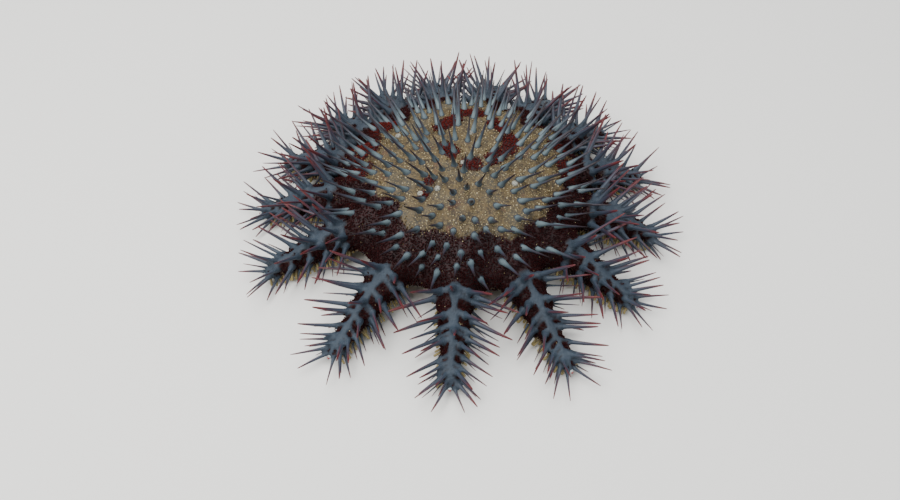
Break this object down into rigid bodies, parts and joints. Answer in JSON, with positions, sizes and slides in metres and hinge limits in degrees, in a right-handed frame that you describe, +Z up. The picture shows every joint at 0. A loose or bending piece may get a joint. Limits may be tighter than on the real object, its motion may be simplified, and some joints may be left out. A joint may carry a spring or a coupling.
{
  "type": "crown of thorns starfish",
  "caption": "Life-size crown of thorns starfish: a domed disc ringed by short drooping arms, set all over with long tapered spines, standing on tube feet.",
  "frame": {"origin": "on the floor, under the middle of the whole outline from above", "axes": "+Z up, away from the floor, and -Y towards the front arms, which face the camera in the picture"},
  "size_m": [0.3692, 0.3652, 0.088],
  "materials": {
    "disc_skin": "granular skin, sandy brown with dark red gills and blue-grey spines",
    "arm_skin": "smooth moist skin, blue-grey with dark red sides and red spine tips",
    "mouth_skin": "soft pale membrane",
    "eye_skin": "smooth, red"
  },
  "bodies": {
    "root": {"disc": "disc_skin", "mouth": "mouth_skin", "arm_01": "arm_skin", "eye_01": "eye_skin", "arm_02": "arm_skin", "eye_02": "eye_skin", "arm_03": "arm_skin", "eye_03": "eye_skin", "arm_04": "arm_skin", "eye_04": "eye_skin", "arm_05": "arm_skin", "eye_05": "eye_skin", "arm_06": "arm_skin", "eye_06": "eye_skin", "arm_07": "arm_skin", "eye_07": "eye_skin", "arm_08": "arm_skin", "eye_08": "eye_skin", "arm_09": "arm_skin", "eye_09": "eye_skin", "arm_10": "arm_skin", "eye_10": "eye_skin", "arm_11": "arm_skin", "eye_11": "eye_skin", "arm_12": "arm_skin", "eye_12": "eye_skin", "arm_13": "arm_skin", "eye_13": "eye_skin", "arm_14": "arm_skin", "eye_14": "eye_skin", "arm_15": "arm_skin", "eye_15": "eye_skin"}
  },
  "joints": []
}
